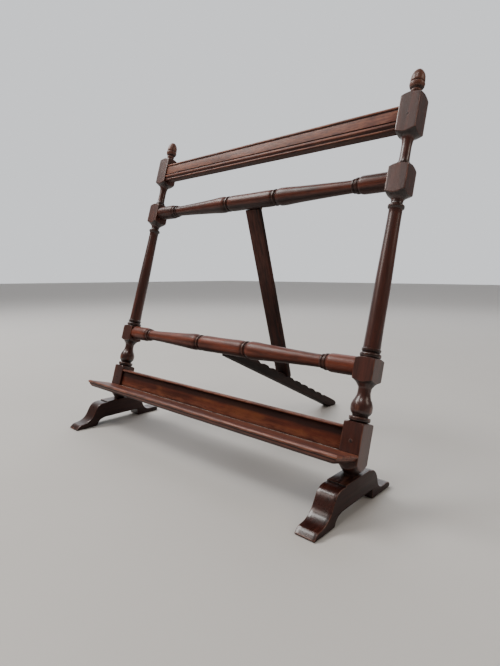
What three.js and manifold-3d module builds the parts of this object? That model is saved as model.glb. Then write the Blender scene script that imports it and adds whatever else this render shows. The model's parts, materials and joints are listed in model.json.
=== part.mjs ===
// Bible stand: two turned posts on scrolled feet carry a reeded top rail, two turned stretchers and a
// moulded book ledge. A strut hinged to the upper stretcher stands in a notched rack hinged to the lower one.
// Millimetres. X runs along the ledge, +Y points away from the reader, +Z up. The origin is on the table
// top, under the middle of the stand.
import * as THREE from 'three';
import { mergeVertices } from 'three/addons/utils/BufferGeometryUtils.js';
import Module from 'manifold-3d';

const wasm = await Module();
wasm.setup();

const rad = THREE.MathUtils.degToRad;

// Driving dimensions
const LEAN = rad(16.4);          // the frame leans back from vertical
const POST_X = 231;              // post axis from the centre line
const BLOCK = 24.5;              // side of the square blocks left on each post
const GAP = 0.3;                 // clearance left between touching pieces
const TURNED_SIDES = 16;

const FOOT_WIDTH = 24;
const PLATFORM_Z = 37;           // top of the flat that the post stands on
const TENON = { radius: 6.4, from: 26, to: 45 };

const FINIAL = { seat: 481.5, spigotRadius: 3.2, spigotLength: 9 };

const UPPER_Z = 377;             // stretcher axes, measured up the posts
const LOWER_Z = 156;
const BARREL = 11.6;             // radius at the middle of each stretcher
const STRETCHER_SIDES = 16;

const LEDGE_TOP = 61.4;
const BASE_PEG = { z: 74.4, radius: 2.3, length: 12.7, proud: 0.5 };
const TOP_PEG = { z: 452.2, radius: 1.5, length: 10.2, proud: 0.2 };

const PROP = { angle: rad(16.5), width: 27, thickness: 7, frontOffset: -4.2, noseRadius: 3.1 };
const RACK = { angle: rad(26), width: 17.5, depth: 15, topOffset: 3.3 };
const NOTCH = { radius: 8, depth: 2.7, lip: 4, pitch: 24.5, before: 3, after: 5 };
const HINGE = {
  knuckle: 2, pin: 0.9, bore: 1.12, plate: 1.2, seat: 2.15, flat: 9.6, fixedLength: 13, freeLength: 18,
};

// Colours
const MAHOGANY = { color: 0x4c1d14, roughness: 0.32, metalness: 0 };
const MAHOGANY_RED = { color: 0x5e2718, roughness: 0.34, metalness: 0 };
const MAHOGANY_DARK = { color: 0x3a1a12, roughness: 0.55, metalness: 0 };
const PEG_WOOD = { color: 0x3f1a13, roughness: 0.5, metalness: 0 };
const BRASS = { color: 0x7a5f34, roughness: 0.45, metalness: 0.9 };

// Solids
function toSolid(geometry) {
  const bare = geometry.clone();
  bare.deleteAttribute('normal');
  bare.deleteAttribute('uv');
  const merged = mergeVertices(bare, 1e-4);
  const index = merged.index.array;
  const faces = [];
  for (let i = 0; i < index.length; i += 3) {
    const [a, b, c] = [index[i], index[i + 1], index[i + 2]];
    if (a !== b && b !== c && c !== a) faces.push(a, b, c);
  }
  return new wasm.Manifold(new wasm.Mesh({
    numProp: 3,
    vertProperties: new Float32Array(merged.attributes.position.array),
    triVerts: new Uint32Array(faces),
  }));
}

function toGeometry(solid) {
  const mesh = solid.getMesh();
  const geometry = new THREE.BufferGeometry();
  geometry.setAttribute('position', new THREE.BufferAttribute(new Float32Array(mesh.vertProperties), 3));
  geometry.setIndex(new THREE.BufferAttribute(new Uint32Array(mesh.triVerts), 1));
  geometry.computeVertexNormals();
  return geometry;
}

// A closed outline in (y, z), extruded along X about the centre line
function barAlongX(outline, width) {
  const shape = new THREE.Shape(outline.map(([y, z]) => new THREE.Vector2(y, z)));
  const geometry = new THREE.ExtrudeGeometry(shape, { depth: width, bevelEnabled: false, steps: 1 });
  geometry.translate(0, 0, -width / 2);
  const turn = new THREE.Matrix4().makeBasis(
    new THREE.Vector3(0, 1, 0), new THREE.Vector3(0, 0, 1), new THREE.Vector3(1, 0, 0));
  return geometry.applyMatrix4(turn);
}

// A turning from [distance along the axis, radius] pairs, closed onto its axis at both ends
function turned(profile, sides) {
  const [first, last] = [profile[0], profile[profile.length - 1]];
  const points = [[first[0], 0], ...profile, [last[0], 0]].map(([z, r]) => new THREE.Vector2(r, z));
  return new THREE.LatheGeometry(points, sides);
}
const turnedAlongZ = (profile, sides) => turned(profile, sides).rotateX(Math.PI / 2);
const turnedAlongX = (profile, sides) => turned(profile, sides).rotateZ(-Math.PI / 2);
const rodAlongY = (radius, from, to, x, z, sides) =>
  new THREE.CylinderGeometry(radius, radius, to - from, sides).translate(x, (from + to) / 2, z);

const stand = new THREE.Group();
const frame = new THREE.Group();
frame.rotation.x = -LEAN;
stand.add(frame);

function addPart(parent, name, geometry, finish) {
  const mesh = new THREE.Mesh(geometry, new THREE.MeshStandardMaterial(finish));
  mesh.name = name;
  parent.add(mesh);
  return mesh;
}

// Posts: one turning each, with four square blocks left on the blank
const POST_TURNING = [
  [34.5, 7], [38.5, 7.3], [40.5, 8.8], [43, 11.2], [46, 13.8], [49, 16], [51.5, 17.6],
  [93.2, 17.6], [95.2, 14.4], [96, 9.6],
  [96.6, 11.2], [97.6, 12], [100.2, 12], [101.2, 11.2], [101.6, 8.8],
  [103.4, 9.4], [105.6, 11.2], [108.4, 12.1], [112, 12.2], [115.4, 11.7], [118.6, 10.5], [121.6, 8.9],
  [124.8, 7.8], [128.5, 7.3],
  [133, 7.5], [136.5, 9.4], [139.8, 12.2], [143.2, 17.6],
  [165.2, 17.6], [167, 13.4], [167.8, 11.2],
  [169.2, 12], [171.4, 12], [172.8, 10.8], [173.6, 9.6],
  [175, 10.9], [177.2, 10.9], [178.2, 9.9],
  [257, 9.1], [340.8, 7.8],
  [342, 8.8], [343, 9.6], [345.2, 9.6], [346.2, 8.2],
  [348, 6.9], [351.5, 7.1], [354.8, 9], [357.6, 12.3], [361.8, 17.6],
  [388.6, 17.6], [392.8, 12.2], [394, 7.6],
  [395, 8], [396.6, 8], [397.4, 6.9],
  [405, 6], [416, 5.9], [424.5, 6.6], [428.6, 8.4], [431.6, 12.6], [435.8, 17.6],
  [475.7, 17.6], [479.8, 12.4], [481.2, 6.6],
];

// Everything below the foot's platform, which is level while the post leans
const belowPlatform = toSolid(new THREE.BoxGeometry(80, 120, 80).translate(0, 0, PLATFORM_Z + GAP - 40)
  .rotateX(LEAN));

function postSolid() {
  const blank = toSolid(new THREE.BoxGeometry(BLOCK, BLOCK, 460).translate(0, 0, 260));
  const turning = toSolid(turnedAlongZ(POST_TURNING, TURNED_SIDES));
  const tenon = toSolid(turnedAlongZ([[TENON.from, TENON.radius], [TENON.to, TENON.radius]], TURNED_SIDES));
  const spigotHole = toSolid(turnedAlongZ(
    [[FINIAL.seat - FINIAL.spigotLength - GAP, FINIAL.spigotRadius + GAP],
      [FINIAL.seat + 5, FINIAL.spigotRadius + GAP]], 16));
  const front = -BLOCK / 2;
  const pegHole = ({ z, radius, length }) =>
    toSolid(rodAlongY(radius + GAP, front - 5, front + length + GAP, 0, z, 12));
  return turning.intersect(blank).subtract(belowPlatform).add(tenon)
    .subtract(spigotHole).subtract(pegHole(BASE_PEG)).subtract(pegHole(TOP_PEG));
}

// Acorn finial on a short neck
const FINIAL_TURNING = [
  [FINIAL.seat - FINIAL.spigotLength, FINIAL.spigotRadius], [FINIAL.seat, FINIAL.spigotRadius],
  [FINIAL.seat, 5.6], [484.6, 5.2], [486, 6.2], [487.4, 6.2], [488.2, 5.6], [490.6, 7.6],
  [493, 8.7], [495.6, 9], [496.6, 8.5], [497.2, 7.7], [498.6, 8.5], [503.5, 8.3], [508, 7.2],
  [511.6, 5.1], [513.8, 2.6], [514.4, 0.8],
];

// Foot: platform for the post, long scroll to the toe, short one to the heel, arched underneath
const FOOT_OUTLINE = [
  [-74, 0], [-38, 0], [-36, 4.5], [-31, 9], [-22, 11.5], [41.5, 11.5], [42.5, 0], [84, 0], [85.5, 2.6],
  [84, 5.8], [78, 7.4], [70, 7], [63, 8], [57.5, 11.2], [54, 17], [52, 24], [48, 30.5], [42, 34.6],
  [36, 35.6], [35, PLATFORM_Z], [-17, PLATFORM_Z], [-17, 35.4], [-24, 35.8], [-30, 34.8], [-35, 31.8],
  [-39, 26.8], [-42.4, 21], [-46.2, 15.4], [-51.4, 11], [-58.6, 7.9], [-67.6, 6.6], [-69.4, 5.6],
  [-74.6, 1.2],
];

function footSolid() {
  const socket = toSolid(turnedAlongZ(
    [[TENON.from - GAP, TENON.radius + GAP], [TENON.to + 15, TENON.radius + GAP]], TURNED_SIDES)
    .rotateX(-LEAN));
  return toSolid(barAlongX(FOOT_OUTLINE, FOOT_WIDTH)).subtract(socket);
}

for (const [side, x] of [['left', -POST_X], ['right', POST_X]]) {
  addPart(frame, `${side}_post`, toGeometry(postSolid()), MAHOGANY).position.x = x;
  addPart(frame, `${side}_finial`, toGeometry(toSolid(turnedAlongZ(FINIAL_TURNING, TURNED_SIDES))), MAHOGANY)
    .position.x = x;
  addPart(stand, `${side}_foot`, toGeometry(footSolid()), MAHOGANY).position.x = x;
  for (const [name, { z, radius, length, proud }] of [['base_peg', BASE_PEG], ['top_peg', TOP_PEG]]) {
    const front = -BLOCK / 2;
    addPart(frame, `${side}_${name}`, toGeometry(toSolid(
      rodAlongY(radius, front - proud, front + length, 0, z, 12))), PEG_WOOD).position.x = x;
  }
}

// Reeded top rail, book board and ledge run between the blocks
const BETWEEN_POSTS = 2 * (POST_X - BLOCK / 2 - GAP);
const RAIL_OUTLINE = [
  [1.8, 436], [1.8, 466], [-9.6, 466], [-10.8, 465], [-10.9, 463.2], [-9.6, 461.9], [-9.6, 461.1],
  [-10.3, 460.5], [-10.3, 447.5], [-9.4, 446.9], [-9.4, 446.1], [-10.9, 445.3], [-10.9, 442.7],
  [-9.4, 441], [-8.7, 439.3], [-9.9, 438.5], [-10.1, 437.2], [-9, 436],
];
addPart(frame, 'top_rail', toGeometry(toSolid(barAlongX(RAIL_OUTLINE, BETWEEN_POSTS))), MAHOGANY_RED);

const BOARD_OUTLINE = [
  [2.5, LEDGE_TOP + GAP], [2.5, 89], [-9.6, 89.2], [-11.4, 88.5], [-11.9, 87.2], [-11.3, 86],
  [-9.4, 85.2], [-8.5, 84.2], [-8.5, LEDGE_TOP + GAP],
];
addPart(frame, 'book_board', toGeometry(toSolid(barAlongX(BOARD_OUTLINE, BETWEEN_POSTS))), MAHOGANY_RED);

const LEDGE_OUTLINE = [
  [2.5, LEDGE_TOP], [-51, LEDGE_TOP], [-54.4, 61.9], [-56.6, 61.2], [-57.4, 59.6], [-56.8, 58],
  [-55.4, 57.4], [-55.2, 56.2], [-54, 54.2], [-51.8, 52.4], [-48, 51.4], [2.5, 51.4],
];
// The front moulding returns round both ends: (distance in from the end, height)
const LEDGE_RETURN = [
  [3, 62.6], [0.8, 61.2], [0, 59.6], [0.6, 58], [2, 57.4], [2.2, 56.2], [3.4, 54.2], [5.6, 52.4], [9.4, 51],
];
function ledgeSolid() {
  const end = POST_X + BLOCK / 2;
  const across = new THREE.Shape([
    ...LEDGE_RETURN.map(([d, z]) => new THREE.Vector2(end - d, z)).reverse(),
    ...LEDGE_RETURN.map(([d, z]) => new THREE.Vector2(d - end, z)),
  ]);
  const returned = new THREE.ExtrudeGeometry(across, { depth: 70, bevelEnabled: false, steps: 1 })
    .rotateX(Math.PI / 2).translate(0, 5, 0);
  let ledge = toSolid(barAlongX(LEDGE_OUTLINE, 2 * end)).intersect(toSolid(returned));
  for (const side of [-1, 1]) {
    ledge = ledge.subtract(toSolid(new THREE.BoxGeometry(BLOCK + 2 * GAP, BLOCK + 2 * GAP, 40)
      .translate(side * POST_X, 0, LEDGE_TOP)));
    ledge = ledge.subtract(toSolid(new THREE.BoxGeometry(5, BLOCK + 2 * GAP, 40)
      .translate(side * (POST_X + BLOCK / 2 + 2), 0, LEDGE_TOP)));
  }
  return ledge;
}
addPart(frame, 'book_ledge', toGeometry(ledgeSolid()), MAHOGANY_RED);

// Turned stretchers, the same pattern either side of the middle
const HALF_STRETCHER = [
  [0, BARREL], [43, 11.8], [44.2, 10.9], [45.2, 10.9], [46, 12], [48, 12], [48.8, 10.9], [49.8, 10.9],
  [51, 12], [62, 12.1], [84, 11.4], [112, 10], [140, 8.9], [164, 8.2], [170, 8.1], [171, 9], [173, 9.2],
  [174, 8.3], [175, 8.3], [176, 10.2], [178.6, 10.2], [179.4, 9.4], [180.6, 9.8], [182.6, 11], [185.6, 11.4],
  [BETWEEN_POSTS / 2, 11.4],
];
function stretcherSolid(flatAngle, leafWidth) {
  const profile = [...HALF_STRETCHER.slice(1).reverse().map(([x, r]) => [-x, r]), ...HALF_STRETCHER];
  const seat = new THREE.BoxGeometry(leafWidth + 1.2, 10, 40).translate(0, HINGE.flat + 5, 0);
  return toSolid(turnedAlongX(profile, STRETCHER_SIDES)).subtract(toSolid(seat.rotateX(flatAngle)));
}

// Hinges. Each knuckle stands where the seat on the stretcher and the face of the hinged piece meet
const onFrame = (z) => new THREE.Vector2(z * Math.sin(LEAN), z * Math.cos(LEAN));
const direction = (angle) => new THREE.Vector2(Math.cos(angle), Math.sin(angle));

function knucklePoint(axis, flatAngle, faceAngle, faceOffset) {
  const [m, n] = [direction(flatAngle), direction(faceAngle)];
  const [f, g] = [HINGE.flat + HINGE.seat, faceOffset + HINGE.seat];
  const det = m.x * n.y - m.y * n.x;
  return new THREE.Vector2(axis.x + (f * n.y - g * m.y) / det, axis.y + (g * m.x - f * n.x) / det);
}

// A leaf hangs down from its knuckles at the origin and faces +Y
function leafSolid(width, length, knuckles) {
  const r = HINGE.knuckle;
  const cover = (x0, x1, z0, z1) => toSolid(new THREE.BoxGeometry(x1 - x0, HINGE.plate, z1 - z0)
    .translate((x0 + x1) / 2, -r + HINGE.plate / 2, (z0 + z1) / 2));
  let leaf = cover(-width / 2, width / 2, -length, -r - 0.4);
  for (const [x0, x1] of knuckles) {
    leaf = leaf.add(cover(x0, x1, -r - 0.6, 0)).add(toSolid(turnedAlongX([[x0, r], [x1, r]], 14)));
  }
  return leaf.subtract(toSolid(turnedAlongX([[-width, HINGE.bore], [width, HINGE.bore]], 12)));
}

function addHinge(name, knuckle, flatAngle, width, movingGroup, leafTurn) {
  const inner = width * 0.16;
  const fixed = new THREE.Group();
  fixed.position.set(0, knuckle.x, knuckle.y);
  const m = direction(flatAngle);
  fixed.setRotationFromMatrix(new THREE.Matrix4().makeBasis(
    new THREE.Vector3(-1, 0, 0), new THREE.Vector3(0, m.x, m.y), new THREE.Vector3(0, m.y, -m.x)));
  stand.add(fixed);
  const outer = [[-width / 2, -inner - GAP], [inner + GAP, width / 2]];
  addPart(fixed, `${name}_hinge_fixed_leaf`, toGeometry(leafSolid(width, HINGE.fixedLength, outer)), BRASS);
  addPart(fixed, `${name}_hinge_pin`, toGeometry(toSolid(turnedAlongX(
    [[-width / 2, HINGE.pin], [width / 2, HINGE.pin]], 10))), BRASS);
  addPart(movingGroup, `${name}_hinge_free_leaf`,
    toGeometry(leafSolid(width, HINGE.freeLength, [[-inner, inner]])), BRASS).rotation.x = leafTurn;
}

const upperAxis = onFrame(UPPER_Z);
const lowerAxis = onFrame(LOWER_Z);
const PROP_SEAT = { flatAngle: rad(-20), leafWidth: 22 };
const RACK_SEAT = { flatAngle: rad(30), leafWidth: 15 };

for (const [name, z, { flatAngle, leafWidth }] of [
  ['upper_stretcher', UPPER_Z, PROP_SEAT], ['lower_stretcher', LOWER_Z, RACK_SEAT]]) {
  addPart(frame, name, toGeometry(stretcherSolid(flatAngle + LEAN, leafWidth)), MAHOGANY_RED).position.z = z;
}

const propPivot = knucklePoint(upperAxis, PROP_SEAT.flatAngle, PROP.angle, PROP.frontOffset + PROP.thickness);
const rackPivot = knucklePoint(lowerAxis, RACK_SEAT.flatAngle, Math.PI / 2 - RACK.angle, RACK.topOffset);

// Rack: y runs down its length from the knuckle, z is square to its notched edge
const rack = new THREE.Group();
rack.position.set(0, rackPivot.x, rackPivot.y);
rack.rotation.x = -RACK.angle;
stand.add(rack);
const along = direction(-RACK.angle);
const square = direction(Math.PI / 2 - RACK.angle);
const RACK_TOP = -HINGE.seat;
const RACK_UNDER = RACK_TOP - RACK.depth;
const clearOfBarrel = BARREL + GAP;
const rackStart = lowerAxis.clone().sub(rackPivot).dot(along) + clearOfBarrel;
const onTable = (z) => (rackPivot.y + z * square.y) / -along.y;   // where a lengthwise line meets the table

// Strut: z runs up its length to the knuckle, y is its back
const prop = new THREE.Group();
prop.position.set(0, propPivot.x, propPivot.y);
prop.rotation.x = PROP.angle;
stand.add(prop);
const propUp = direction(Math.PI / 2 + PROP.angle);
const propBack = direction(PROP.angle);
const propTop = upperAxis.clone().sub(propPivot).dot(propUp) - clearOfBarrel;
const propMiddle = -HINGE.seat - PROP.thickness / 2;

// The strut's rounded nose stands in the fourth notch
const SEAT_LIFT = 0.5;
const noseZ = RACK_TOP - NOTCH.depth + PROP.noseRadius + SEAT_LIFT;
const fromRack = propPivot.clone().addScaledVector(propBack, propMiddle).sub(rackPivot);
const propLength = (fromRack.dot(square) - noseZ) / propUp.dot(square);
const seatY = fromRack.addScaledVector(propUp, -propLength).dot(along);

function arc(cy, cz, radius, from, to, steps) {
  return Array.from({ length: steps + 1 }, (_, i) => {
    const a = from + (to - from) * i / steps;
    return [cy + radius * Math.cos(a), cz + radius * Math.sin(a)];
  });
}

function rackOutline() {
  const { radius, depth, lip } = NOTCH;
  const lipY = Math.sqrt((radius + lip) ** 2 - (radius - depth + lip) ** 2);
  const half = Math.asin(lipY / (radius + lip));
  const outline = [[rackStart, RACK_UNDER], [rackStart, RACK_TOP]];
  for (let i = -NOTCH.before; i <= NOTCH.after; i++) {
    const y = seatY + i * NOTCH.pitch;
    const down = -Math.PI / 2;
    outline.push(...arc(y - lipY, RACK_TOP - lip, lip, -down, -down - half, 2),
      ...arc(y, RACK_TOP + radius - depth, radius, down - half, down + half, 4).slice(1, -1),
      ...arc(y + lipY, RACK_TOP - lip, lip, -down + half, -down, 2));
  }
  const tip = onTable(RACK_TOP - 6.2);
  outline.push([tip - 14, RACK_TOP], [tip - 6, RACK_TOP - 0.7], [tip - 1.8, RACK_TOP - 2.6],
    [tip - 0.5, RACK_TOP - 4.8], [tip - 1.4, RACK_TOP - 6.1]);
  outline.push([onTable(RACK_TOP - 7.4), RACK_TOP - 7.4], [onTable(RACK_UNDER), RACK_UNDER]);
  return outline;
}
addPart(rack, 'ratchet_rack', toGeometry(toSolid(barAlongX(rackOutline(), RACK.width))), MAHOGANY_DARK);

const front = propMiddle - PROP.thickness / 2;
const back = propMiddle + PROP.thickness / 2;
const propOutline = [
  [front, propTop], [front, -propLength + 2.5], ...arc(propMiddle, -propLength, PROP.noseRadius,
    Math.PI, 2 * Math.PI, 8), [back, -propLength + 2.5], [back, propTop],
];
addPart(prop, 'prop_strut', toGeometry(toSolid(barAlongX(propOutline, PROP.width))), MAHOGANY_DARK);

addHinge('prop', propPivot, PROP_SEAT.flatAngle, PROP_SEAT.leafWidth, prop, 0);
addHinge('rack', rackPivot, RACK_SEAT.flatAngle, RACK_SEAT.leafWidth, rack, Math.PI / 2);

const extent = new THREE.Box3().setFromObject(stand, true);
stand.position.y = -(extent.min.y + extent.max.y) / 2;

export default stand;
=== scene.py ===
"""Bible stand in dark polished mahogany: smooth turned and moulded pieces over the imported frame."""
import json
import math
from collections import Counter

import bpy
import numpy as np
from mathutils import Matrix, Vector
from mathutils.geometry import tessellate_polygon


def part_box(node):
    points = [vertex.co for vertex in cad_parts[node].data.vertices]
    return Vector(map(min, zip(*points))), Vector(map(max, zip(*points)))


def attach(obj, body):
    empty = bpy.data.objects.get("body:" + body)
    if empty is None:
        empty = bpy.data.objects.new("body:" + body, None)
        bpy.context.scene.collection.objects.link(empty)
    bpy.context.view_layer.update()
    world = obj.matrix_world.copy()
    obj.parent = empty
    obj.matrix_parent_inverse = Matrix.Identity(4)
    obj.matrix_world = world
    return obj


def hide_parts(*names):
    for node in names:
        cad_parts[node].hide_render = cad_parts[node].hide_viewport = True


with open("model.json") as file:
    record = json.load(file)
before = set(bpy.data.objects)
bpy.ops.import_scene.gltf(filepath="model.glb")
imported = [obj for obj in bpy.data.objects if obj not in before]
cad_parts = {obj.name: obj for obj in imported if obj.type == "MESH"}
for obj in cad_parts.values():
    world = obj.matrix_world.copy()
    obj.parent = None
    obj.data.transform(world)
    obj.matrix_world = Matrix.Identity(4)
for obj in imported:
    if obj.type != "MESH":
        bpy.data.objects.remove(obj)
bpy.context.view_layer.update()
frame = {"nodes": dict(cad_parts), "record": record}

# Driving dimensions in millimetres, as in the CAD
LEAN = math.radians(16.4)
POST_X = 231
BLOCK = 24.5
BOARD_FACE = -8.5
FINIAL_SEAT = 481.5
PLATFORM_Z = 37
TOE_Y = -74.6
UPPER_Z, LOWER_Z = 377, 156
HINGE_FLAT = 9.6
PROP_TILT = math.radians(16.5)
RACK_TILT = math.radians(-26)
FOOT_HALF, RACK_HALF, STRUT_HALF = 12, 8.75, 13.5       # half of each board's thickness or width along X
PEGS = (("base", 74.4, 2.3), ("top", 452.2, 1.5))       # place, height up the post, radius
LEAF_FACE = -0.8        # from a hinge's axis to the face of its free leaf

TABLE_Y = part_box("right_foot")[0].y * 1000 - TOE_Y      # where the post axes meet the table
TO_FRAME = Matrix.Translation((0, TABLE_Y, 0)) @ Matrix.Rotation(-LEAN, 4, "X")
PIVOT = {j["name"]: Vector(j["pos_m"]) * 1000 for j in frame["record"]["behaviour"]["joints"]}
rng = np.random.default_rng(7)

# Turned outlines: (distance along the axis, radius)
POST_TURNING = [
    (34.5, 7), (38.5, 7.3), (40.5, 8.8), (43, 11.2), (46, 13.8), (49, 16), (51.5, 17.6),
    (93.2, 17.6), (95.2, 14.4), (96, 9.6),
    (96.6, 11.2), (97.6, 12), (100.2, 12), (101.2, 11.2), (101.6, 8.8),
    (103.4, 9.4), (105.6, 11.2), (108.4, 12.1), (112, 12.2), (115.4, 11.7), (118.6, 10.5), (121.6, 8.9),
    (124.8, 7.8), (128.5, 7.3),
    (133, 7.5), (136.5, 9.4), (139.8, 12.2), (143.2, 17.6),
    (165.2, 17.6), (167, 13.4), (167.8, 11.2),
    (169.2, 12), (171.4, 12), (172.8, 10.8), (173.6, 9.6),
    (175, 10.9), (177.2, 10.9), (178.2, 9.9),
    (257, 9.1), (340.8, 7.8),
    (342, 8.8), (343, 9.6), (345.2, 9.6), (346.2, 8.2),
    (348, 6.9), (351.5, 7.1), (354.8, 9), (357.6, 12.3), (361.8, 17.6),
    (388.6, 17.6), (392.8, 12.2), (394, 7.6),
    (395, 8), (396.6, 8), (397.4, 6.9),
    (405, 6), (416, 5.9), (424.5, 6.6), (428.6, 8.4), (431.6, 12.6), (435.8, 17.6),
    (475.7, 17.6), (479.8, 12.4), (481.2, 6.6),
]
FINIAL_TURNING = [
    (FINIAL_SEAT, 5.6), (484.6, 5.2), (486, 6.2), (487.4, 6.2), (488.2, 5.6), (490.6, 7.6),
    (493, 8.7), (495.6, 9), (496.6, 8.5), (497.2, 7.7), (498.6, 8.5), (503.5, 8.3), (508, 7.2),
    (511.6, 5.1), (513.8, 2.6), (514.4, 0.2),
]
HALF_STRETCHER = [
    (0, 11.6), (34, 11.9), (40.5, 11.6), (43.2, 10.8), (44.2, 10.2), (45.2, 10.3),
    (46, 11.8), (48, 11.8), (48.8, 10.3), (49.8, 9.9), (51, 10.4), (53.5, 11.6),
    (57.5, 12.45), (64, 12.4), (74, 11.8), (84, 11.2), (112, 10), (140, 8.9), (164, 8.2),
    (170, 8.1), (171, 9), (173, 9.2), (174, 8.3), (175, 8.3),
    (176, 10.2), (178.6, 10.2), (179.4, 9.4), (180.6, 9.8), (182.6, 11),
    (185.6, 11.4), (218.4, 11.4),
]
# The ledge's cross-section: (y, z)
LEDGE_OUTLINE = [
    (2.5, 61.4), (-51, 61.4), (-54.4, 61.9), (-56.6, 61.2), (-57.4, 59.6), (-56.8, 58),
    (-55.4, 57.4), (-55.2, 56.2), (-54, 54.2), (-51.8, 52.4), (-48, 51.4), (2.5, 51.4),
]
# The front moulding returned round the ends: (distance in from the end, height)
LEDGE_RETURN = [
    (3, 62.6), (0.8, 61.2), (0, 59.6), (0.6, 58), (2, 57.4), (2.2, 56.2), (3.4, 54.2),
    (5.6, 52.4), (9.4, 51.3),
]


# ---- camera and light -------------------------------------------------------------------------------

SENSOR, LENS = 36, 32.8
CAMERA_AT = (0.4681, -0.4144 + TABLE_Y / 1000, 0.2533)
CAMERA_FORWARD = (-0.6659, 0.7349, -0.1282)
CAMERA_UP = (-0.0876, 0.0936, 0.9917)

# The room is dim and warm all round, and bright and cool behind the stand
DIM_WALL = (0.150, 0.134, 0.120, 1)
BRIGHT_WALL = (0.935, 0.955, 0.985, 1)
BRIGHT_HEADING = (-0.66, 0.74, 0.1)
BRIGHT_FROM, BRIGHT_TO = 0.42, 0.85

# name, location, target, size, power, tint
SOFTBOXES = (
    ("key", (-1.6, -0.7, 2.2), (0, 0, 0.2), (1.3, 1.0), 46, (1.0, 0.98, 0.95)),
    ("sky", (-1.1, -1.25, 1.45), (0.2, 0.1, 0.45), (0.8, 0.6), 6, (1.0, 0.86, 0.79)),
    ("side", (1.9, 0.5, 1.5), (0, 0, 0.25), (0.7, 1.0), 9, (1.0, 0.88, 0.76)),
    ("top", (0.1, -0.9, 2.4), (0, 0, 0.2), (0.6, 0.6), 12, (1.0, 0.96, 0.92)),
    ("back", (-0.6, 1.8, 2.0), (0, 0, 0.2), (2.4, 1.2), 12, (0.96, 0.98, 1.0)),
)


def aim(obj, location, forward, up):
    """Puts obj at location with its -Z axis along forward."""
    forward, up = Vector(forward).normalized(), Vector(up)
    right = forward.cross(up).normalized()
    turn = Matrix((right, right.cross(forward), -forward)).transposed()
    obj.matrix_world = Matrix.Translation(location) @ turn.to_4x4()


def add_camera():
    data = bpy.data.cameras.new("camera")
    data.sensor_fit, data.sensor_width, data.lens = "HORIZONTAL", SENSOR, LENS
    camera = bpy.data.objects.new("camera", data)
    bpy.context.scene.collection.objects.link(camera)
    aim(camera, CAMERA_AT, CAMERA_FORWARD, CAMERA_UP)
    bpy.context.scene.camera = camera


def add_softbox(name, location, target, size, power, tint):
    data = bpy.data.lights.new(name, "AREA")
    data.shape, data.size, data.size_y = "RECTANGLE", size[0], size[1]
    data.energy, data.color = power, tint
    lamp = bpy.data.objects.new(name, data)
    bpy.context.scene.collection.objects.link(lamp)
    location = Vector(location)
    aim(lamp, location, Vector(target) - location, (0, 0, 1))


def add_world():
    world = bpy.data.worlds.new("studio")
    world.use_nodes = True
    tree = world.node_tree
    background = tree.nodes["Background"]
    heading = tree.nodes.new("ShaderNodeVectorMath")
    heading.operation = "DOT_PRODUCT"
    tree.links.new(tree.nodes.new("ShaderNodeTexCoord").outputs["Generated"], heading.inputs[0])
    heading.inputs[1].default_value = BRIGHT_HEADING
    ramp = tree.nodes.new("ShaderNodeMapRange")
    ramp.interpolation_type = "SMOOTHSTEP"
    tree.links.new(heading.outputs["Value"], ramp.inputs["Value"])
    ramp.inputs["From Min"].default_value = BRIGHT_FROM
    ramp.inputs["From Max"].default_value = BRIGHT_TO
    wall = tree.nodes.new("ShaderNodeMix")
    wall.data_type = "RGBA"
    tree.links.new(ramp.outputs[0], wall.inputs[0])
    wall.inputs[6].default_value = DIM_WALL
    wall.inputs[7].default_value = BRIGHT_WALL
    tree.links.new(wall.outputs[2], background.inputs["Color"])
    bpy.context.scene.world = world


# ---- node helpers -----------------------------------------------------------------------------------

class Nodes:
    """A material's node tree, with one short call for each kind of node used here."""

    def __init__(self, name):
        self.material = bpy.data.materials.new(name)
        self.material.use_nodes = True
        self.tree = self.material.node_tree
        self.shader = self.tree.nodes["Principled BSDF"]

    def put(self, socket, value):
        if isinstance(value, bpy.types.NodeSocket):
            self.tree.links.new(value, socket)
        else:
            socket.default_value = value

    def node(self, kind, inputs=None, **settings):
        node = self.tree.nodes.new(kind)
        for key, value in settings.items():
            setattr(node, key, value)
        for key, value in (inputs or {}).items():
            self.put(node.inputs[key], value)
        return node

    def attribute(self, name, output):
        return self.node("ShaderNodeAttribute", attribute_name=name).outputs[output]

    def math(self, operation, a, b=0.0):
        return self.node("ShaderNodeMath", {0: a, 1: b}, operation=operation).outputs[0]

    def plus(self, a, b):
        return self.math("ADD", a, b)

    def minus(self, a, b):
        return self.math("SUBTRACT", a, b)

    def times(self, a, b):
        return self.math("MULTIPLY", a, b)

    def stretch(self, vector, scale):
        return self.node("ShaderNodeVectorMath", {0: vector, 1: scale}, operation="MULTIPLY").outputs[0]

    def noise(self, vector, detail, rough, distortion=0.0):
        return self.node("ShaderNodeTexNoise", {
            "Vector": vector, "Scale": 1.0, "Detail": detail, "Roughness": rough,
            "Distortion": distortion}).outputs["Fac"]

    def between(self, value, low, high):
        """0 at low, 1 at high and smooth in between, whichever of the two is the larger."""
        return self.node("ShaderNodeMapRange", {
            "Value": value, "From Min": low, "From Max": high}, interpolation_type="SMOOTHSTEP").outputs[0]

    def span(self, value, low, high):
        """value from 0 to 1, spread from low to high."""
        return self.node("ShaderNodeMapRange", {"Value": value, "To Min": low, "To Max": high}).outputs[0]

    def mix(self, factor, a, b):
        node = self.node("ShaderNodeMix", data_type="RGBA")
        self.put(node.inputs[0], factor)
        for socket, value in ((node.inputs[6], a), (node.inputs[7], b)):
            self.put(socket, value if isinstance(value, bpy.types.NodeSocket) else (*value, 1.0))
        return node.outputs[2]

    def bump(self, height, strength, distance):
        self.put(self.shader.inputs["Normal"], self.node("ShaderNodeBump", {
            "Height": height, "Strength": strength, "Distance": distance}).outputs[0])

    def finish(self, **values):
        for key, value in values.items():
            self.put(self.shader.inputs[key.replace("_", " ")], value)
        return self.material


# ---- materials --------------------------------------------------------------------------------------

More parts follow.
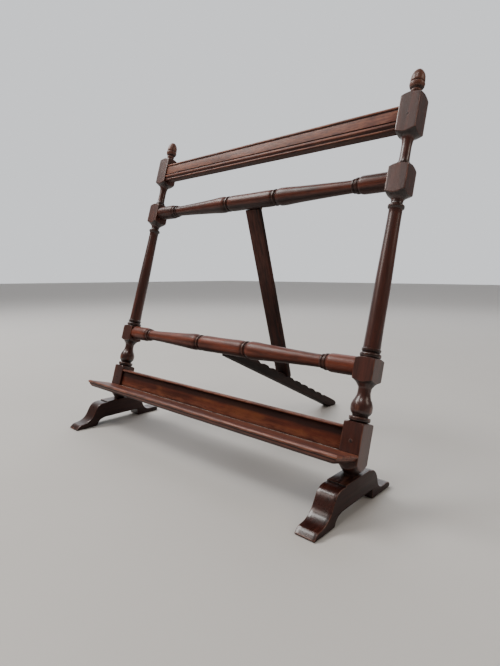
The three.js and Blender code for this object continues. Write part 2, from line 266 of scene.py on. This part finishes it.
FADED = (0.30, 0.100, 0.036)
OLD_WAX = (0.014, 0.0052, 0.0040)
# Near-black for grime and painted shade in grooves, corners and under faces that look down
GRIME_AND_SHADE = (0.006, 0.003, 0.003)
RESIDUE = (0.82, 0.70, 0.62)


def mahogany(name, dark, mid, worn, gloss=0.36, coat=0.45, wear=0.6, soft=0.14, specular=0.5,
             shelter=0.026, faded=0.0, residue=False, sawn_and_shaded=False):
    """Old polished mahogany, its grain along the third axis of the "grain" attribute, in millimetres.

    dark and mid are the colours of the figure, which a larger soft blurs. worn is the colour of rubbed
    ridges, wear how far they show it. gloss is a roughness. Painted shade and some grime reach shelter
    metres out of corners, and painted shade darkens faces that look down.
    faded bleaches patches, residue whitens a strip in front of the board, sawn dulls the side faces and
    paints shade on them by darkening their colour.
    """
    n = Nodes(name)
    grain = n.attribute("grain", "Vector")
    relief = n.attribute("relief", "Fac")
    figure = n.noise(n.stretch(grain, (0.10, 0.10, 0.009)), 4, 0.6, 0.9)
    fibre = n.noise(n.stretch(grain, (1.7, 1.7, 0.05)), 3, 0.6)
    pores = n.between(n.noise(n.stretch(grain, (3.4, 3.4, 0.30)), 2, 0.5), 0.60, 0.70)
    patches = n.noise(n.stretch(grain, (0.045, 0.045, 0.02)), 3, 0.6)
    scuffs = n.noise(n.stretch(grain, (0.35, 0.35, 0.06)), 4, 0.6)

    tone = n.between(n.plus(n.times(figure, 0.65), n.times(fibre, 0.35)), 0.5 - soft, 0.5 + soft)
    colour = n.mix(tone, dark, mid)
    colour = n.mix(n.times(n.between(patches, 0.45, 0.75), 0.45), colour, dark)
    if faded:
        colour = n.mix(n.times(n.between(patches, 0.48, 0.30), faded), colour, FADED)
    colour = n.mix(n.times(pores, 0.55), colour, [0.35 * c for c in dark])

    patina = n.plus(n.attribute("patina", "Fac"), n.times(n.minus(scuffs, 0.5), 0.9))
    colour = n.mix(n.times(n.between(patina, 0.22, 0.95), 0.72), colour, OLD_WAX)
    ridge = n.times(n.between(relief, 0.12, 0.85), n.between(scuffs, 0.36, 0.64))
    colour = n.mix(n.times(ridge, wear), colour, worn)

    # Painted shade: grooves, corners (ambient occlusion out to shelter metres) and faces that look down are
    # darkened to near-black. The grooves also hold some real grime.
    groove = n.times(n.between(relief, -0.05, -0.42), 0.9)
    crevice_shade = n.node("ShaderNodeAmbientOcclusion", {"Distance": shelter}, samples=6).outputs["AO"]
    normal = n.node("ShaderNodeNewGeometry").outputs["Normal"]
    facing = n.node("ShaderNodeSeparateXYZ", {0: normal}).outputs
    underside_shade = n.times(n.between(facing[2], -0.18, -0.62), 0.95)
    shade_and_grime = n.math("MAXIMUM", groove, n.between(crevice_shade, 0.64, 0.24))
    shade_and_grime = n.math("MAXIMUM", shade_and_grime, underside_shade)
    colour = n.mix(n.times(shade_and_grime, 0.85), colour, GRIME_AND_SHADE)

    rough = n.plus(n.times(patches, 0.6), n.times(scuffs, 0.4))
    rough = n.plus(n.span(rough, gloss - 0.13, gloss + 0.17), n.times(shade_and_grime, 0.25))

    if residue:
        place = n.attribute("place", "Vector")
        across = n.node("ShaderNodeSeparateXYZ", {0: place}).outputs[1]
        line = n.times(n.between(across, BOARD_FACE - 3.2, BOARD_FACE - 2.7),
                       n.between(across, BOARD_FACE + 0.5, BOARD_FACE + 0.1))
        line = n.times(line, n.between(facing[2], 0.3, 0.6))
        crumbs = n.between(n.noise(n.stretch(place, (0.20, 0.5, 0.5)), 2, 0.6), 0.46, 0.52)
        line = n.times(n.times(line, crumbs), 0.85)
        colour = n.mix(line, colour, RESIDUE)
        rough = n.plus(rough, n.times(line, 0.4))

    # Side faces: a rougher, thinly coated sawn finish, and their colour darkened towards dark as painted
    # shade.
    if sawn_and_shaded:
        dull_shaded_flank = n.between(n.math("ABSOLUTE", facing[0]), 0.75, 0.97)
        colour = n.mix(n.times(dull_shaded_flank, 0.45), colour, dark)
        rough = n.plus(rough, n.times(dull_shaded_flank, 0.22))
        coat = n.span(dull_shaded_flank, coat, 0.06)

    height = n.minus(n.plus(n.times(fibre, 0.35), n.times(scuffs, 0.35)), n.times(pores, 0.5))
    n.bump(height, 0.20, 0.00015)
    return n.finish(Base_Color=colour, Roughness=rough, Coat_Weight=coat, Coat_Roughness=0.16,
                    IOR=1.5, Specular_IOR_Level=specular)


def tarnished_brass():
    n = Nodes("tarnished_brass")
    place = n.stretch(n.node("ShaderNodeTexCoord").outputs["Object"], (1000, 1000, 1000))
    blotch = n.between(n.noise(n.stretch(place, (0.25, 0.25, 0.25)), 4, 0.6), 0.38, 0.66)
    grime = n.noise(n.stretch(place, (1.6, 1.6, 1.6)), 3, 0.6)
    point = n.node("ShaderNodeNewGeometry").outputs["Pointiness"]
    colour = n.mix(blotch, (0.25, 0.165, 0.078), (0.085, 0.056, 0.034))
    colour = n.mix(n.times(n.between(point, 0.52, 0.62), 0.6), colour, (0.55, 0.40, 0.19))
    n.bump(n.plus(grime, blotch), 0.25, 0.0001)
    return n.finish(Base_Color=colour, Metallic=0.9, Roughness=n.span(grime, 0.32, 0.62))


def pale_floor():
    n = Nodes("pale_floor")
    place = n.node("ShaderNodeTexCoord").outputs["Object"]
    mottle = n.noise(n.stretch(place, (3, 3, 3)), 4, 0.6)
    near = n.mix(mottle, (0.60, 0.585, 0.56), (0.66, 0.65, 0.63))
    # Painted light: the floor's colour grows paler with distance from the stand, brightening the far floor
    # where the lamps' light falls off.
    distance = n.node("ShaderNodeVectorMath", {0: place}, operation="LENGTH").outputs["Value"]
    colour = n.mix(n.between(distance, 0.5, 3.0), near, (0.97, 0.96, 0.95))
    return n.finish(Base_Color=colour, Roughness=0.62)


# Each look's dark, mid and worn colours, and its settings
LOOKS = {
    "mahogany_turned": ((0.022, 0.0066, 0.0050), (0.108, 0.0255, 0.0150), (0.26, 0.098, 0.060),
                        dict(gloss=0.35, coat=0.42, soft=0.24)),
    "mahogany_finial": ((0.075, 0.0240, 0.0140), (0.200, 0.0680, 0.0380), (0.34, 0.140, 0.080),
                        dict(gloss=0.44, coat=0.15, soft=0.24, wear=0.5)),
    "mahogany_foot": ((0.013, 0.0046, 0.0040), (0.064, 0.0165, 0.0110), (0.24, 0.100, 0.066),
                      dict(gloss=0.27, coat=0.65, wear=0.7, soft=0.2, specular=0.3, sawn_and_shaded=True)),
    "mahogany_moulded": ((0.040, 0.0098, 0.0060), (0.190, 0.0430, 0.0200), (0.32, 0.110, 0.055),
                         dict(gloss=0.50, coat=0.06, soft=0.24, specular=0.32, shelter=0.011, faded=0.5)),
    "mahogany_ledge": ((0.044, 0.0105, 0.0062), (0.205, 0.0460, 0.0210), (0.36, 0.120, 0.058),
                       dict(gloss=0.44, coat=0.14, soft=0.18, specular=0.4, shelter=0.014, residue=True)),
    "mahogany_stretcher": ((0.058, 0.0125, 0.0068), (0.250, 0.0540, 0.0230), (0.36, 0.120, 0.058),
                           dict(gloss=0.44, coat=0.10, soft=0.2, specular=0.32)),
    "mahogany_shaded": ((0.026, 0.0068, 0.0046), (0.160, 0.0360, 0.0170), (0.32, 0.110, 0.060),
                        dict(gloss=0.38, coat=0.16, soft=0.18, specular=0.3)),
    "mahogany_strut": ((0.008, 0.0030, 0.0024), (0.072, 0.0170, 0.0105), (0.09, 0.034, 0.023),
                       dict(gloss=0.54, coat=0.0, soft=0.11, specular=0.25)),
    "mahogany_rack": ((0.006, 0.0024, 0.0020), (0.030, 0.0088, 0.0060), (0.07, 0.030, 0.021),
                      dict(gloss=0.54, coat=0.0, specular=0.25)),
    "peg_wood": ((0.020, 0.008, 0.006), (0.060, 0.021, 0.015), (0.24, 0.12, 0.09),
                 dict(gloss=0.50, coat=0.1, wear=0.9)),
}
WOOD = {name: mahogany(name, *colours, **settings) for name, (*colours, settings) in LOOKS.items()}
BRASS = tarnished_brass()


# ---- mesh code --------------------------------------------------------------------------------------

SHARP = math.radians(38)        # edges that turn further than this stay sharp
LONG_EDGE = 25                  # an outline's longer edges are straight
UNBOUND = 99.0
WOBBLE = 0.0012                 # how far the lathe work runs out of true, as a part of the radius
SOFT = 0.35                     # how far the edge between a turning and a flat is eased


def monotone(points, xs):
    """A smooth curve through the points that never overshoots them."""
    x, y = np.array(points, float).T
    h, d = np.diff(x), np.diff(y) / np.diff(x)
    slope = np.zeros(len(x))
    for i in range(1, len(x) - 1):
        if d[i - 1] * d[i] > 0:
            a, b = 2 * h[i] + h[i - 1], h[i] + 2 * h[i - 1]
            slope[i] = (a + b) / (a / d[i - 1] + b / d[i])
    slope[0], slope[-1] = d[0], d[-1]
    i = np.clip(np.searchsorted(x, xs, "right") - 1, 0, len(x) - 2)
    t = (xs - x[i]) / h[i]
    return ((1 + 2 * t) * (1 - t) ** 2 * y[i] + t * (1 - t) ** 2 * h[i] * slope[i]
            + t * t * (3 - 2 * t) * y[i + 1] + t * t * (t - 1) * h[i] * slope[i + 1])


def stations(points, fine=0.55, coarse=7.0):
    """Distances along a turning: close together on its rings and hollows, wide apart on plain shafts."""
    out = [points[0][0]]
    for (x0, r0), (x1, r1) in zip(points, points[1:]):
        step = coarse if x1 - x0 > 15 and abs(r1 - r0) < 3 else fine if abs(r1 - r0) > 1.5 else 2 * fine
        count = max(2, math.ceil((x1 - x0) / step))
        out.extend(x0 + (x1 - x0) * (k + 1) / count for k in range(count))
    return np.array(out)


def relief_of(xs, radii):
    """How far each radius stands out from its neighbourhood, from -1 in a groove to 1 on a ring."""
    even = np.arange(xs[0] - 12, xs[-1] + 12, 0.5)
    r = np.interp(even, xs, radii)
    kernel = np.exp(-np.linspace(-2.2, 2.2, 19) ** 2)
    smooth = np.convolve(r, kernel / kernel.sum(), "same")
    return np.clip((radii - np.interp(xs, even, smooth)) / 1.4, -1, 1)


def patina_of(xs, radii):
    """How close each place is to the rings and grooves that hold dark old wax, from 0 to 1."""
    even = np.arange(xs[0] - 20, xs[-1] + 20, 0.5)
    r = np.interp(even, xs, radii)
    near = np.exp(-np.linspace(-2.2, 2.2, 19) ** 2)
    wide = np.exp(-np.linspace(-2.2, 2.2, 37) ** 2)
    steps = np.abs(r - np.convolve(r, near / near.sum(), "same"))
    steps[:30] = steps[-30:] = 0
    spread = np.convolve(steps, wide / wide.sum(), "same")
    return np.clip((np.interp(xs, even, spread) - 0.07) / 0.25, 0, 1)


def add_attribute(mesh, name, values):
    values = np.array(values, np.float32)
    kind, field = ("FLOAT_VECTOR", "vector") if values.ndim == 2 else ("FLOAT", "value")
    mesh.attributes.new(name, kind, "POINT").data.foreach_set(field, values.ravel())


def add_mesh(name, points, skinned, grain, relief, matrix, wood, body, nodes, patina=None):
    """A piece of the body, standing in for the CAD nodes. points and grain are in millimetres."""
    faces, caps = skinned
    mesh = bpy.data.meshes.new(name)
    world = [(matrix @ Vector(p)) / 1000 for p in points]
    mesh.from_pydata(world, [], faces)
    mesh.update()
    add_attribute(mesh, "grain", np.array(grain) + rng.uniform(-400, 400, 3))
    add_attribute(mesh, "place", points)
    add_attribute(mesh, "relief", relief)
    if patina is not None:
        add_attribute(mesh, "patina", patina)
    mesh.shade_smooth()
    for face in mesh.polygons[len(faces) - caps:]:
        face.use_smooth = False
    mesh.set_sharp_from_angle(angle=SHARP)
    mesh.materials.append(WOOD.get(wood, BRASS))
    piece = bpy.data.objects.new(name, mesh)
    bpy.context.scene.collection.objects.link(piece)
    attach(piece, body)
    if nodes:
        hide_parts(*nodes)


def skin(rings, outline=None):
    """Faces over a stack of closed rings of equal length, with both ends capped. Caps come last.
    outline is the rings' shape in (y, z), where it isn't round."""
    rows, count = len(rings), len(rings[0])
    faces = []
    for r in range(rows - 1):
        for k in range(count):
            a, b = r * count + k, r * count + (k + 1) % count
            faces.append((a, b, b + count, a + count))
    caps = [tuple(range(count))]
    if outline is not None:
        caps = []
        for a, b, c in tessellate_polygon([[Vector((y, z, 0)) for y, z in outline]]):
            (ay, az), (by, bz), (cy, cz) = outline[a], outline[b], outline[c]
            left = (by - ay) * (cz - az) - (bz - az) * (cy - ay) > 0
            caps.append((a, b, c) if left else (a, c, b))
    faces.extend(cap[::-1] for cap in caps)
    faces.extend(tuple((rows - 1) * count + k for k in cap) for cap in caps)
    return faces, 2 * len(caps)


# Angles of the points round a turning: a quarter of a squared one in degrees, close at its arris
QUARTER = [0, 8, 16, 24, 31, 36, 39.5, 42, 43.7, 45, 46.3, 48, 50.5, 54, 59, 66, 74, 82]
ARRIS = np.radians(2.2)
AROUND_SQUARE = np.radians([q + 90 * k for k in range(4) for q in QUARTER])
AROUND_ROUND = np.linspace(0, 2 * math.pi, 56, endpoint=False)


def near_corner(angle):
    """Angle from the nearest corner of the square blank."""
    return angle % (math.pi / 2) - math.pi / 4


def add_turning(name, profile, around, limit, matrix, wood, body, nodes, cut=None, aged=1.0):
    """A turned piece along local Z. limit(z, angle) is a flat or square that the turning may not pass,
    cut(y) the height it starts from, and aged how much old wax its grooves hold."""
    zs = stations(profile)
    radii = monotone(profile, zs)
    reliefs, patinas = relief_of(zs, radii), aged * patina_of(zs, radii)
    oval, sway, _ = rng.uniform(0, 2 * math.pi, 3)
    points, marks, dark = [], [], []
    for z, radius, relief, patina in zip(zs, radii, reliefs, patinas):
        bound = limit(z, around) if limit else np.full(len(around), UNBOUND)
        low, high = np.minimum(bound, radius), np.maximum(bound, radius)
        out = low - SOFT * np.exp(-(high - low) / SOFT) * 0.35
        out = out * (1 - 2 * WOBBLE + WOBBLE * np.sin(3 * around + oval + z / 31)
                     + WOBBLE * np.sin(z / 17 + sway))
        mark = np.full(len(around), relief)
        if limit is square_blank:
            arris = np.where(np.abs(near_corner(around)) < ARRIS, 0.9, 0.0)
            mark = np.where(radius < bound, relief, arris)
        if limit:
            mark = np.maximum(mark, 0.75 * np.exp(-((bound - radius) / 0.5) ** 2))
        marks.extend(mark)
        dark.extend(np.where(radius < bound, patina, 0.2 * patina))
        for angle, r in zip(around, out):
            x, y = r * math.cos(angle), r * math.sin(angle)
            points.append((x, y, max(z, cut(y)) if cut else z))
    rings = np.arange(len(points)).reshape(len(zs), len(around))
    add_mesh(name, points, skin(rings), points, marks, matrix, wood, body, nodes, dark)


def rounded(outline, radius, steps=3):
    """The closed outline with each corner turned into a small arc."""
    out = []
    count = len(outline)
    for i, p in enumerate(outline):
        p, a, b = (np.array(q, float) for q in (p, outline[i - 1], outline[(i + 1) % count]))
        u, v = a - p, b - p
        lu, lv = np.linalg.norm(u), np.linalg.norm(v)
        u, v = u / lu, v / lv
        turn = math.pi - math.acos(max(-1, min(1, u @ v)))
        if turn < 0.3:
            out.append(p)
            continue
        reach = min(radius * math.tan(turn / 2), 0.42 * lu, 0.42 * lv)
        s, e = p + u * reach, p + v * reach
        for k in range(steps + 1):
            t = k / steps
            out.append((1 - t) ** 2 * s + 2 * t * (1 - t) * p + t * t * e)
    return np.array(out)


def bend(a, b, c):
    """The angle that the path from a to b to c turns through at b."""
    u, v = b - a, c - b
    return math.acos(max(-1, min(1, u @ v / np.linalg.norm(u) / np.linalg.norm(v))))


def smooth_outline(outline, spacing=2.2):
    """Curves through the runs of gentle corners, and keeps the sharp ones sharp."""
    pts = np.array(outline, float)
    count = len(pts)
    out = []
    for i in range(count):
        p0, p1, p2, p3 = (pts[(i + k) % count] for k in (-1, 0, 1, 2))
        before, long, after = (np.linalg.norm(d) for d in (p1 - p0, p2 - p1, p3 - p2))
        if long > LONG_EDGE:
            out.append(p1)
            continue
        t1 = t2 = p2 - p1
        if bend(p0, p1, p2) <= SHARP and before <= LONG_EDGE:
            t1 = (p2 - p0) * long / (long + before)
        if bend(p1, p2, p3) <= SHARP and after <= LONG_EDGE:
            t2 = (p3 - p1) * long / (long + after)
        steps = max(1, round(long / spacing))
        for k in range(steps):
            t = k / steps
            out.append((2 * t ** 3 - 3 * t * t + 1) * p1 + (t ** 3 - 2 * t * t + t) * t1
                       + (3 * t * t - 2 * t ** 3) * p2 + (t ** 3 - t * t) * t2)
    return np.array(out)


def outline_of(node):
    """The CAD node's end outline in (y, z), in millimetres, anticlockwise seen from +X."""
    mesh = frame["nodes"][node].data
    end = max(v.co.x for v in mesh.vertices) - 1e-5
    spot = {}

    def key(i):
        c = mesh.vertices[i].co
        k = (round(c.y, 6), round(c.z, 6))
        spot[k] = (c.y * 1000, c.z * 1000)
        return k

    rims = Counter()
    for face in mesh.polygons:
        if all(mesh.vertices[i].co.x > end for i in face.vertices):
            rims.update(tuple(sorted((key(a), key(b)))) for a, b in face.edge_keys)
    links = {}
    for (a, b), uses in rims.items():
        if uses == 1:
            links.setdefault(a, []).append(b)
            links.setdefault(b, []).append(a)
    first = here = min(links)
    loop, last = [first], None
    while (step := [k for k in links[here] if k != last][0]) != first:
        loop.append(step)
        last, here = here, step
    pts = np.array([spot[k] for k in loop])
    y, z = pts.T
    clockwise = np.sum(y * np.roll(z, -1) - np.roll(y, -1) * z) < 0
    return pts[::-1] if clockwise else pts


def inset(outline, amount):
    """The closed outline moved inwards along its normals."""
    a = np.roll(outline, 1, 0)
    b = np.roll(outline, -1, 0)
    t = b - a
    t /= np.linalg.norm(t, axis=1)[:, None]
    return outline - np.stack((t[:, 1], -t[:, 0]), 1) * np.reshape(amount, (-1, 1))


def turning_of(outline, reach=0.9):
    """How sharply the closed outline turns near each point: 1 at an outer corner, -1 at an inner one."""
    a, b = np.roll(outline, 1, 0), np.roll(outline, -1, 0)
    u, v = outline - a, b - outline
    angle = np.arctan2(u[:, 0] * v[:, 1] - u[:, 1] * v[:, 0], (u * v).sum(1))
    out = np.zeros(len(outline))
    for i, p in enumerate(outline):
        near = np.linalg.norm(outline - p, axis=1) < reach
        out[i] = np.clip(angle[near].sum() / 0.9, -1, 1)
    return out


def add_bar(name, outline, x0, x1, edge, grain_of, wood, body, nodes, pitch=14, wave=0.06):
    """A moulding or plank along X with softened end edges. grain_of turns (x, y, z) into grain space."""
    ends = [(edge * (1 - math.cos(a)), edge * (1 - math.sin(a))) for a in np.radians([0, 30, 60, 90])]
    length = x1 - x0 - 2 * edge
    inner = max(2, round(length / pitch))
    rows = [(x0 + d, i) for d, i in ends]
    rows += [(x0 + edge + length * k / inner, 0) for k in range(1, inner)]
    rows += [(x1 - d, i) for d, i in reversed(ends)]
    phase = rng.uniform(0, 2 * math.pi, 4)[0]
    around = np.linspace(0, 2 * math.pi, len(outline), endpoint=False)
    turns = turning_of(outline)
    points, marks = [], []
    for x, amount in rows:
        ripple = wave * (1 + np.sin(x / 23 + phase + 3 * around)) / 2
        points.extend((x, y, z) for y, z in inset(outline, amount + ripple))
        in_from_end = min(x - x0, x1 - x)
        if in_from_end < 0.01:
            marks.extend(0 * turns)
        else:
            marks.extend(np.maximum(turns, 0.9) if in_from_end < edge else turns)
    rings = np.arange(len(points)).reshape(len(rows), len(outline))
    grain = [grain_of(*p) for p in points]
    add_mesh(name, points, skin(rings, outline), grain, marks, Matrix(), wood, body, nodes)


# ---- the stand --------------------------------------------------------------------------------------

def square_blank(z, angle):
    """The squared parts of a post: all but a square, with slightly eased arrises."""
    power = 46
    c, s = np.abs(np.cos(angle)), np.abs(np.sin(angle))
    return BLOCK / 2 / (c ** power + s ** power) ** (1 / power)


def above_platform(y):
    """How far up the post the level seat on its foot lies."""
    return (PLATFORM_Z + 0.08 + y * math.sin(LEAN)) / math.cos(LEAN)


def add_posts():
    for side, x in (("left", -POST_X), ("right", POST_X)):
        at = TO_FRAME @ Matrix.Translation((x, 0, 0))
        add_turning(f"{side}_post_turned", POST_TURNING, AROUND_SQUARE, square_blank, at, "mahogany_turned",
                    "stand_frame", [f"{side}_post"], cut=above_platform)
        add_turning(f"{side}_finial_turned", FINIAL_TURNING, AROUND_ROUND, None, at, "mahogany_finial",
                    "stand_frame", [f"{side}_finial"], aged=0.3)
        for kind, z, radius in PEGS:
            outward = at @ Matrix.Translation((0, 0, z)) @ Matrix.Rotation(math.pi / 2, 4, "X")
            dome = [(BLOCK / 2 - 2.0, radius), (BLOCK / 2, radius), (BLOCK / 2 + 0.12, 0.93 * radius),
                    (BLOCK / 2 + 0.2, 0.6 * radius), (BLOCK / 2 + 0.22, 0.05)]
            add_turning(f"{side}_{kind}_peg_head", dome, AROUND_ROUND, None, outward, "peg_wood",
                        "stand_frame", [f"{side}_{kind}_peg"], aged=0)
        outline = rounded(smooth_outline(outline_of(f"{side}_foot")), 1.2)
        add_bar(f"{side}_foot_carved", outline, x - FOOT_HALF, x + FOOT_HALF, 0.8,
                lambda x, y, z: (x, z, y), "mahogany_foot", "stand_frame", [f"{side}_foot"],
                pitch=4, wave=0.12)


def seat_limit(flat_angle, width):
    """The flat planed on a stretcher's barrel for its hinge leaf."""
    def limit(z, angle):
        c = np.cos(angle - flat_angle)
        flat = np.where(c > 0.2, HINGE_FLAT / np.maximum(c, 0.2), UNBOUND)
        return flat if abs(z) < width / 2 + 0.6 else np.full(len(angle), UNBOUND)
    return limit


def add_stretchers():
    along_x = Matrix.Rotation(math.pi / 2, 4, "Y")
    for name, z, tilt, width, wood in (("upper", UPPER_Z, -20, 22, "mahogany_shaded"),
                                       ("lower", LOWER_Z, 30, 15, "mahogany_stretcher")):
        half = [*HALF_STRETCHER]
        edge = width / 2 + 0.6
        half[1:1] = [(edge - 0.02, 11.65), (edge + 0.02, 11.65)]
        profile = [(-x, r) for x, r in reversed(half[1:])] + half
        turn = math.radians(tilt) + LEAN
        # local X of the turning points down, so the seat's angle is counted from it
        flat = math.atan2(math.cos(turn), -math.sin(turn))
        at = TO_FRAME @ Matrix.Translation((0, 0, z)) @ along_x
        add_turning(f"{name}_stretcher_turned", profile, AROUND_ROUND, seat_limit(flat, width), at,
                    wood, "stand_frame", [f"{name}_stretcher"])


def lengthwise(x, y, z):
    return (y, z, x)


def add_rail_and_board():
    for node in ("top_rail", "book_board"):
        low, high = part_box(node)
        add_bar(f"{node}_moulded", rounded(outline_of(node), 0.8), low.x * 1000 - 0.25,
                high.x * 1000 + 0.25, 0.3, lengthwise, "mahogany_moulded", "stand_frame", [node])


def add_ledge():
    """The ledge: cut back round the posts, its front moulding returned along both ends."""
    outline = rounded(LEDGE_OUTLINE, 0.8)
    outer, inner = POST_X + BLOCK / 2, POST_X - BLOCK / 2 - 0.15
    front = -BLOCK / 2 - 0.15
    steps = np.array([0.02, 0.15, 0.35, 0.6, 1.2, 2, 2.15, 2.4, 2.8, 3.4, 4.4, 5.6, 7.4, 9.4, 11])
    middle = np.linspace(8 - inner, inner - 8, 34)
    half = [*(outer - steps), inner + 0.01, inner - 0.01]
    xs = np.concatenate((-np.array(half), middle, half[::-1]))
    inwards, heights = np.array(LEDGE_RETURN).T
    turns = turning_of(outline)
    points, marks = [], []
    for x in xs:
        d = outer - abs(x)
        floor = np.interp(d, inwards[2:], heights[2:])
        roof = np.interp(d, inwards[2::-1], heights[2::-1])
        ring = inset(outline, 0.03 * (1 + math.sin(x / 19)))
        if abs(x) > inner:
            ring = np.stack((np.minimum(ring[:, 0], front), ring[:, 1]), 1)
        points.extend((x, y, min(max(z, floor), roof)) for y, z in ring)
        marks.extend(np.maximum(turns, 0.8) if d < 1 else turns)
    rings = np.arange(len(points)).reshape(len(xs), len(outline))
    grain = [lengthwise(*p) for p in points]
    add_mesh("book_ledge_moulded", points, skin(rings), grain, marks, TO_FRAME, "mahogany_ledge",
             "stand_frame", ["book_ledge"])


def grain_along(tilt):
    c, s = math.cos(tilt), math.sin(tilt)
    return lambda x, y, z: (x, -s * y + c * z, c * y + s * z)


def add_strut_and_rack():
    add_bar("ratchet_rack_notched", rounded(outline_of("ratchet_rack"), 1.0), -RACK_HALF, RACK_HALF, 0.7,
            grain_along(RACK_TILT), "mahogany_rack", "rack", ["ratchet_rack"], pitch=4)
    add_bar("prop_strut_planed", rounded(outline_of("prop_strut"), 0.9), -STRUT_HALF, STRUT_HALF, 0.7,
            grain_along(PROP_TILT + math.pi / 2), "mahogany_strut", "strut", ["prop_strut"], pitch=6)


def add_screw(name, place, normal, body):
    """The low domed head of a small wood screw, standing on the leaf."""
    profile, count = [(1.5, -0.3), (1.5, 0.02), (1.35, 0.14), (1.05, 0.20), (0.52, 0.22)], 32
    points = [(r * math.cos(a), r * math.sin(a), h)
              for r, h in profile for a in np.linspace(0, 2 * math.pi, count, endpoint=False)]
    rings = np.arange(len(points)).reshape(len(profile), count)
    turned = Matrix.Translation(place) @ Vector(normal).to_track_quat("Z", "Y").to_matrix().to_4x4()
    add_mesh(name, points, skin(rings), points, np.zeros(len(points)), turned, "old_brass", body, [])


def soften_hinges():
    for node in ("fixed_leaf", "free_leaf", "pin"):
        for hinge in ("prop", "rack"):
            piece = frame["nodes"][f"{hinge}_hinge_{node}"]
            piece.data.materials.clear()
            piece.data.materials.append(BRASS)
            soften = piece.modifiers.new("softened_edges", "BEVEL")
            soften.width, soften.segments, soften.limit_method = 0.00015, 2, "ANGLE"
            soften.angle_limit = math.radians(50)


def leaf_direction(angle):
    return Vector((0, math.cos(angle), math.sin(angle)))


def add_screws():
    """Two screws in each free leaf, placed by how far along the axis and down the leaf they are."""
    for hinge, joint, body, down, face in (
            ("prop", "strut_swing", "strut", PROP_TILT - math.pi / 2, PROP_TILT),
            ("rack", "rack_fold", "rack", RACK_TILT, RACK_TILT + math.pi / 2)):
        for i, (x, reach) in enumerate(((-3.4, 7.5), (3.4, 14))):
            place = PIVOT[joint] + leaf_direction(down) * reach
            place += leaf_direction(face) * LEAF_FACE + Vector((x, 0, 0))
            add_screw(f"{hinge}_hinge_screw_{i + 1}", place, leaf_direction(face), body)


def add_floor():
    mesh = bpy.data.meshes.new("floor")
    half = 12
    corners = [(-half, -half, 0), (half, -half, 0), (half, half, 0), (-half, half, 0)]
    mesh.from_pydata(corners, [], [(0, 1, 2, 3)])
    mesh.materials.append(pale_floor())
    floor = bpy.data.objects.new("floor", mesh)
    floor.location.z = -0.0004
    bpy.context.scene.collection.objects.link(floor)


add_camera()
add_world()
for softbox in SOFTBOXES:
    add_softbox(*softbox)
add_posts()
add_stretchers()
add_rail_and_board()
add_ledge()
add_strut_and_rack()
soften_hinges()
add_screws()
add_floor()
